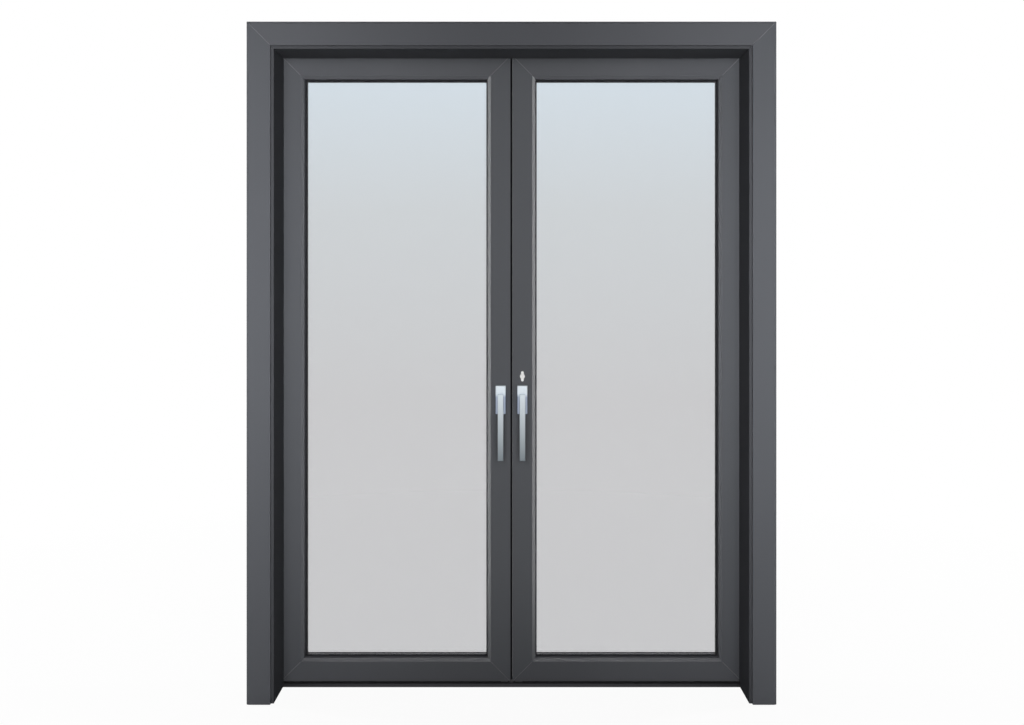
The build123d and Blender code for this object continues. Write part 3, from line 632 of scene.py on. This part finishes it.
def screw_heads(places, direction, radius, screws, cells=12):
    """Round cross-slot heads at the given places, facing a direction.

    A square grid (u, v) becomes a disc by x = u sqrt(1 - v²/2), y = v sqrt(1 - u²/2). The top is the dome
    rise (1 - x² - y²), less the slot where |u| or |v| is small near the middle. The underside is flat.
    """
    line = np.linspace(-1, 1, cells + 1)
    u, v = np.meshgrid(line, line, indexing="ij")
    x, y = u * np.sqrt(1 - v**2 / 2), v * np.sqrt(1 - u**2 / 2)
    far = x**2 + y**2
    slot = (np.minimum(abs(u), abs(v)) < screws.slot_half) & (far < screws.slot_reach**2)
    top = np.stack((x * radius, y * radius, screws.rise * (1 - far) - screws.slot_depth * slot), -1)
    under = np.stack((x * radius, y * radius, np.full_like(x, -screws.seat)), -1)
    head, quads = slab(top, under)
    way = np.array(direction, float)
    side = np.cross(way, (0.0, 0.0, 1.0)) if way[2] == 0 else np.array((1.0, 0.0, 0.0))
    turn = np.stack((side, np.cross(way, side), way))
    points = (head @ turn)[None] + np.asarray(places, float)[:, None]
    every = quads[None] + (np.arange(len(places)) * len(head))[:, None, None]
    return points.reshape(-1, 3), every.reshape(-1, 4)


class DOOR_OT_coated_bars(bpy.types.Operator):
    """Powder coat on the casing, lining, frame, sash bars and beads"""

    bl_idname = "door.coated_bars"
    bl_label = "Coated Bars"

    def execute(self, context):
        coat = context.scene.door_coat
        bars = slot_nodes["powder_coat"]
        reveal = [name for name in bars if name.startswith(("lining", "frame"))]
        rails = [name for name in bars if name.endswith(("head", "rail")) and name not in reveal]
        uprights = [name for name in bars if name not in reveal and name not in rails]
        # Painted shade: the lining and frame take the darker reveal coat.
        paint(reveal, powder_coat("coat_reveal", coat.reveal, coat, coat.reveal_shine))
        # Painted light: the head and rails get a paler copy of the coat.
        paint(rails, powder_coat("coat_rails", coat.rail, coat, coat.shine))
        paint(uprights, powder_coat("coat_uprights", coat.upright, coat, coat.shine))
        ease_edges(bars, coat.edge)
        return {"FINISHED"}


class DOOR_OT_mitres(bpy.types.Operator):
    """Lines of sealant in the mitres of the leaves and the casing"""

    bl_idname = "door.mitres"
    bl_label = "Mitres"

    def execute(self, context):
        coat = context.scene.door_coat
        material = powder_coat("mitre_sealant", coat.sealant, coat, coat.shine)
        for leaf in LEAVES:
            stiles = (f"{leaf}_hinge_stile", f"{leaf}_meeting_stile")
            ends = [pair for stile in stiles for pair in mitre_ends(stile)]
            points, quads = sealant_lines(ends, coat, coat.sealant_rise)
            add_piece(f"{leaf}_mitre_sealant", points, quads, f"{leaf}_leaf", material)
        ends = [pair for side in LEAVES for pair in mitre_ends(f"casing_{side}")]
        points, quads = sealant_lines(ends, coat, 0.0)
        add_piece("casing_mitre_sealant", points, quads, "frame", material)
        return {"FINISHED"}


class DOOR_OT_panes(bpy.types.Operator):
    """Tinted glass with a painted sky reflection for the panes, and mill aluminium for the spacers between
    them
    """

    bl_idname = "door.panes"
    bl_label = "Panes"

    def execute(self, context):
        scene = context.scene
        panes = slot_nodes["glass"]
        top = max(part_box(name)[1].z for name in panes)
        paint(panes, pane_glass(scene.door_glazing, top))
        metals = scene.door_metals
        paint(slot_nodes["mill_aluminium"], plain_metal("mill_aluminium", metals.aluminium, metals))
        return {"FINISHED"}


class DOOR_OT_seals(bpy.types.Operator):
    """Rubber on gaskets and seals, and a rounded lip where each gasket meets its pane"""

    bl_idname = "door.seals"
    bl_label = "Seals"

    def execute(self, context):
        glazing = context.scene.door_glazing
        material = rubber(glazing)
        paint(slot_nodes["rubber_seal"], material)
        for leaf in LEAVES:
            gasket = f"{leaf}_glazing_gaskets"
            x_range, z_range = levels(gasket, 0)[1:3], levels(gasket, 2)[1:3]
            faces = levels(gasket, 1)
            for word, near, far in (("front", *faces[:2]), ("rear", *faces[2:])):
                insets, depths = self.lip(glazing, near, far)
                points, quads = mitred_ring(x_range, z_range, insets, depths)
                name = f"{leaf}_{word}_gasket_lip"
                add_piece(name, points, quads, f"{leaf}_leaf", material)
        points, quads = self.blade(glazing)
        add_piece("left_meeting_blade", points, quads, "left_leaf", material)
        return {"FINISHED"}

    @staticmethod
    def blade(glazing, steps=7):
        """Thin flap from the meeting seal's nose to the other stile, the height of the leaf.

        At share s of its reach it is bent back by sweep s², and it thins evenly from root to tip.
        """
        low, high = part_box("left_meeting_seal")
        start = (low.x + high.x) / 2
        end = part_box("right_meeting_stile")[0].x - glazing.blade_room
        share, height = np.meshgrid(np.linspace(0, 1, steps), np.array((low.z, high.z)), indexing="ij")
        x = start + (end - start) * share
        middle = (low.y + high.y) / 2 + glazing.blade_sweep * share**2
        half = (glazing.blade_root + (glazing.blade_tip - glazing.blade_root) * share) / 2
        return slab(np.stack((x, middle - half, height), -1), np.stack((x, middle + half, height), -1))

    @staticmethod
    def lip(glazing, near, far, steps=9):
        """Half of an ellipse between two depths, inset by reach sin t, closed along the gasket's edge."""
        turn = np.linspace(0, math.pi, steps)
        middle, half = (near + far) / 2, (far - near) / 2 - glazing.lip_room
        root = (-glazing.lip_root,)
        insets = np.concatenate((root, glazing.lip_reach * np.sin(turn), root))
        depths = np.concatenate(((middle - half,), middle - half * np.cos(turn), (middle + half,)))
        return insets, depths


class DOOR_OT_handles(bpy.types.Operator):
    """Satin chrome on the handle bases and levers, with painted reflection and shade"""

    bl_idname = "door.handles"
    bl_label = "Handles"

    def execute(self, context):
        metals = context.scene.door_metals
        handles = slot_nodes["handle_metal"]
        bases = [name for name in handles if name.endswith("base")]
        levers = [name for name in handles if name not in bases]
        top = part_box(bases[0])[1].z
        tip, head = (corner.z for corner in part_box(levers[0]))
        # Painted reflection: each lever darkens from the base's top down to its tip.
        paint(levers, satin_chrome("lever_chrome", metals.lever_tip_painted_reflection, metals, tip, top))
        # Painted shade: each base darkens below its lever's top.
        paint(bases, satin_chrome("base_chrome", metals.base_foot_painted_shade, metals, head - metals.base_shade_fade, head))
        return {"FINISHED"}


class DOOR_OT_key_lock(bpy.types.Operator):
    """Satin nickel on the key cylinder, its plug and its escutcheon"""

    bl_idname = "door.key_lock"
    bl_label = "Key Lock"

    def execute(self, context):
        metals = context.scene.door_metals
        paint(slot_nodes["lock_nickel"], plain_metal("satin_nickel", metals.nickel, metals))
        return {"FINISHED"}


class DOOR_OT_bolt_works(bpy.types.Operator):
    """Zinc on rods, gears, cases, keepers and strike, with the screws of keepers and strike"""

    bl_idname = "door.bolt_works"
    bl_label = "Bolt Works"

    def execute(self, context):
        scene = context.scene
        screws = scene.door_screws
        zinc = plain_metal("zinc_plate", scene.door_metals.zinc, scene.door_metals)
        paint(slot_nodes["bolt_steel"], zinc)
        for keepers, up in (("head_keepers", -1), ("threshold_keepers", 1)):
            low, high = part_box(keepers)
            face = high.z if up > 0 else low.z
            ends = (low.y + screws.keeper_inset, high.y - screws.keeper_inset)
            middles = spans(vertices(keepers)[:, 0], screws.keeper_gap).mean(1)
            places = [(x, y, face) for x in middles for y in ends]
            points, quads = screw_heads(places, (0, 0, up), screws.small_radius, screws)
            add_piece(f"{keepers}_screws", points, quads, "frame", zinc)
        low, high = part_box("left_deadbolt_strike")
        middle = (low.y + high.y) / 2
        ends = (low.z + screws.keeper_inset, high.z - screws.keeper_inset)
        places = [(high.x, middle, z) for z in ends]
        points, quads = screw_heads(places, (1, 0, 0), screws.small_radius, screws)
        add_piece("left_strike_screws", points, quads, "left_leaf", zinc)
        return {"FINISHED"}


class DOOR_OT_hinges(bpy.types.Operator):
    """Coat on the hinges, and the screws of their flaps"""

    bl_idname = "door.hinges"
    bl_label = "Hinges"

    def execute(self, context):
        scene = context.scene
        coat, screws = scene.door_coat, scene.door_screws
        paint(slot_nodes["hinge_metal"], powder_coat("coat_hinges", coat.hinge, coat, coat.shine))
        steel = plain_metal("screw_steel", scene.door_metals.zinc, scene.door_metals)
        for leaf in LEAVES:
            joint = next(j for j in frame["joints"] if j["name"] == f"{leaf}_leaf_swing")
            bodies = {f"{leaf}_hinge_flaps": f"{leaf}_leaf", f"hinge_frame_flaps_{leaf}": "frame"}
            for flaps, body in bodies.items():
                points, quads = self.flap_screws(flaps, joint["pos_m"][0], screws)
                add_piece(f"{flaps}_screws", points, quads, body, steel)
        return {"FINISHED"}

    @staticmethod
    def flap_screws(flaps, axis, screws, rows=4):
        """A row of heads up each flap, set in from its free edge, on its rear face."""
        points = vertices(flaps)
        away = points[:, 0] - axis
        free_edge = points[np.argmax(abs(away)), 0]
        plate = points[abs(away) > abs(free_edge - axis) - screws.flap_inset]
        inset = math.copysign(screws.flap_inset, axis - free_edge)
        face = plate[:, 1].max()
        places = [
            (free_edge + inset, face, z)
            for low, high in spans(points[:, 2], screws.flap_gap)
            for z in np.linspace(low + screws.end_inset, high - screws.end_inset, rows)
        ]
        return screw_heads(places, (0, 1, 0), screws.radius, screws)


class DOOR_OT_sill(bpy.types.Operator):
    """Dark anodised finish on the threshold"""

    bl_idname = "door.sill"
    bl_label = "Sill"

    def execute(self, context):
        paint(slot_nodes["threshold_metal"], dark_anodised(context.scene.door_metals))
        return {"FINISHED"}


class DOOR_OT_stage(bpy.types.Operator):
    """Pale floor, white surroundings, softboxes, and the camera at eye level before the door"""

    bl_idname = "door.stage"
    bl_label = "Stage"

    def execute(self, context):
        scene = context.scene
        stage = scene.door_stage
        scene.view_settings.view_transform = "Standard"
        self.surroundings(scene, stage)
        self.floor(scene, stage)
        beams = {
            "high_softbox": (stage.high_power, math.pi),
            "edge_softbox": (stage.edge_power, stage.edge_spread),
            "rear_softbox": (stage.rear_power, math.pi),
            "side_softbox": (stage.side_power, math.pi),
            "glint": (stage.glint_power, stage.glint_spread),
        }
        for word, side in zip(LEAVES, (-1, 1)):
            for name, (place, target, size) in SIDE_LAMPS.items():
                ends = np.array((place, target)) * (side, 1, 1)
                lamp = self.lamp(scene, f"{word}_{name}", *ends, size, *beams[name])
                if name == "glint":
                    self.shine_only(scene, lamp)
        lamp = self.lamp(scene, "sill_glint", *SILL_GLINT, stage.sill_power, stage.glint_spread)
        self.shine_only(scene, lamp)
        self.camera(scene, stage)
        return {"FINISHED"}

    @staticmethod
    def seen(finish):
        """1 for rays that show the surroundings, and 0 for rays that light matt surfaces."""
        kinds = ("Is Camera Ray", "Is Glossy Ray", "Is Transmission Ray")
        camera, glossy, through = (finish.node("ShaderNodeLightPath", output=kind) for kind in kinds)
        return finish.node("ShaderNodeClamp", None, {"Value": camera + glossy + through})

    def surroundings(self, scene, stage):
        """White where it is seen, and a softer light on matt surfaces."""
        world = bpy.data.worlds.new("surroundings")
        scene.world = world
        finish = Finish(world)
        strength = stage.ambient + (1 - stage.ambient) * self.seen(finish)
        sky = finish.node("ShaderNodeBackground", None, {"Color": WHITE, "Strength": strength})
        finish.node("ShaderNodeOutputWorld", None, {"Surface": sky})

    def floor(self, scene, stage):
        """A disc that is white where it is seen, and keeps a little of its shading near the door."""
        finish = Finish.material("pale_floor")
        away = finish.node("ShaderNodeVectorMath", {"operation": "LENGTH"}, {0: finish.place}, "Value")
        fade = finish.node("ShaderNodeClamp", None, {"Value": (away - stage.fade_start) / stage.fade_width})
        white = self.seen(finish) * (1 - stage.shadow_share * (1 - fade))
        matt = finish.node("ShaderNodeBsdfDiffuse", None, {"Color": (*stage.floor, 1.0)})
        glow = finish.node("ShaderNodeEmission", None, {"Color": WHITE, "Strength": 1.0})
        mixed = finish.node("ShaderNodeMixShader", None, {0: white, 1: matt, 2: glow})
        finish.node("ShaderNodeOutputMaterial", None, {"Surface": mixed})
        turn = np.linspace(0, 2 * math.pi, FLOOR_SIDES, endpoint=False)
        rim = np.stack((np.cos(turn), np.sin(turn), np.zeros_like(turn)), 1) * stage.floor_reach
        mesh = bpy.data.meshes.new("floor")
        mesh.from_pydata(rim.tolist(), [], [list(range(len(rim)))])
        mesh.materials.append(finish.owner)
        disc = bpy.data.objects.new("floor", mesh)
        scene.collection.objects.link(disc)

    @staticmethod
    def lamp(scene, name, place, target, size, power, spread):
        """A rectangular lamp that points at a target, lights matt surfaces and isn't seen itself."""
        data = bpy.data.lights.new(name, "AREA")
        data.shape = "RECTANGLE"
        data.size, data.size_y = size
        data.energy = power
        data.spread = spread
        lamp = bpy.data.objects.new(name, data)
        scene.collection.objects.link(lamp)
        lamp.location = place
        way = np.array(target) - np.array(place)
        yaw = math.atan2(way[1], way[0]) - math.pi / 2
        pitch = math.atan2(way[2], math.hypot(way[0], way[1])) + math.pi / 2
        lamp.rotation_euler = (pitch, 0.0, yaw)
        lamp.visible_camera = False
        lamp.visible_glossy = False
        lamp.visible_transmission = False
        return lamp

    @staticmethod
    def shine_only(scene, lamp):
        """Keeps a lamp to the shine of the sash bars: it lights no matt surface and no other piece."""
        lamp.visible_diffuse = False
        lamp.visible_glossy = True
        sash = [bar for name, bar in solids.items() if name.endswith(("stile", "rail"))]
        linked = bpy.data.collections.new(f"{lamp.name}_linking")
        for piece in scene.objects:
            if piece.type == "MESH" and piece not in sash:
                linked.objects.link(piece)
        for entry in linked.collection_objects:
            entry.light_linking.link_state = "EXCLUDE"
        lamp.light_linking.receiver_collection = linked

    @staticmethod
    def camera(scene, stage):
        """Level camera whose shift puts the horizon and the middle line where the photograph has them."""
        data = bpy.data.cameras.new("camera")
        data.lens = stage.lens
        data.shift_x = (IMAGE_WIDTH / 2 - MIDDLE_COLUMN) / IMAGE_WIDTH
        data.shift_y = (HORIZON_ROW - IMAGE_HEIGHT / 2) / IMAGE_WIDTH
        camera = bpy.data.objects.new("camera", data)
        scene.collection.objects.link(camera)
        camera.location = (0.0, cad_box[0].y - stage.distance, stage.eye_height)
        camera.rotation_euler = (math.pi / 2, 0.0, 0.0)
        scene.camera = camera


OPERATORS = (
    DOOR_OT_coated_bars,
    DOOR_OT_mitres,
    DOOR_OT_panes,
    DOOR_OT_seals,
    DOOR_OT_handles,
    DOOR_OT_key_lock,
    DOOR_OT_bolt_works,
    DOOR_OT_hinges,
    DOOR_OT_sill,
    DOOR_OT_stage,
)


class DOOR_PT_looks(bpy.types.Panel):
    """Sizes and colours of the door's looks, with a button for each group of pieces"""

    bl_idname = "DOOR_PT_looks"
    bl_label = "Casement Door"
    bl_space_type = "VIEW_3D"
    bl_region_type = "UI"
    bl_category = "Door"

    def draw(self, context):
        for group, kind in SETTINGS.items():
            box = self.layout.box()
            box.label(text=kind.__doc__)
            for name in kind.__annotations__:
                box.prop(getattr(context.scene, group), name)
        for operator in OPERATORS:
            self.layout.operator(operator.bl_idname)


CLASSES = (*SETTINGS.values(), *OPERATORS, DOOR_PT_looks)


def register():
    for kind in CLASSES:
        bpy.utils.register_class(kind)
    for group, kind in SETTINGS.items():
        setattr(bpy.types.Scene, group, bpy.props.PointerProperty(type=kind))


def unregister():
    for group in SETTINGS:
        delattr(bpy.types.Scene, group)
    for kind in reversed(CLASSES):
        bpy.utils.unregister_class(kind)


def main():
    """Registers the add-on, and makes every piece and the stage."""
    register()
    for operator in OPERATORS:
        family, name = operator.bl_idname.split(".")
        getattr(getattr(bpy.ops, family), name)()


if __name__ == "__main__":
    main()
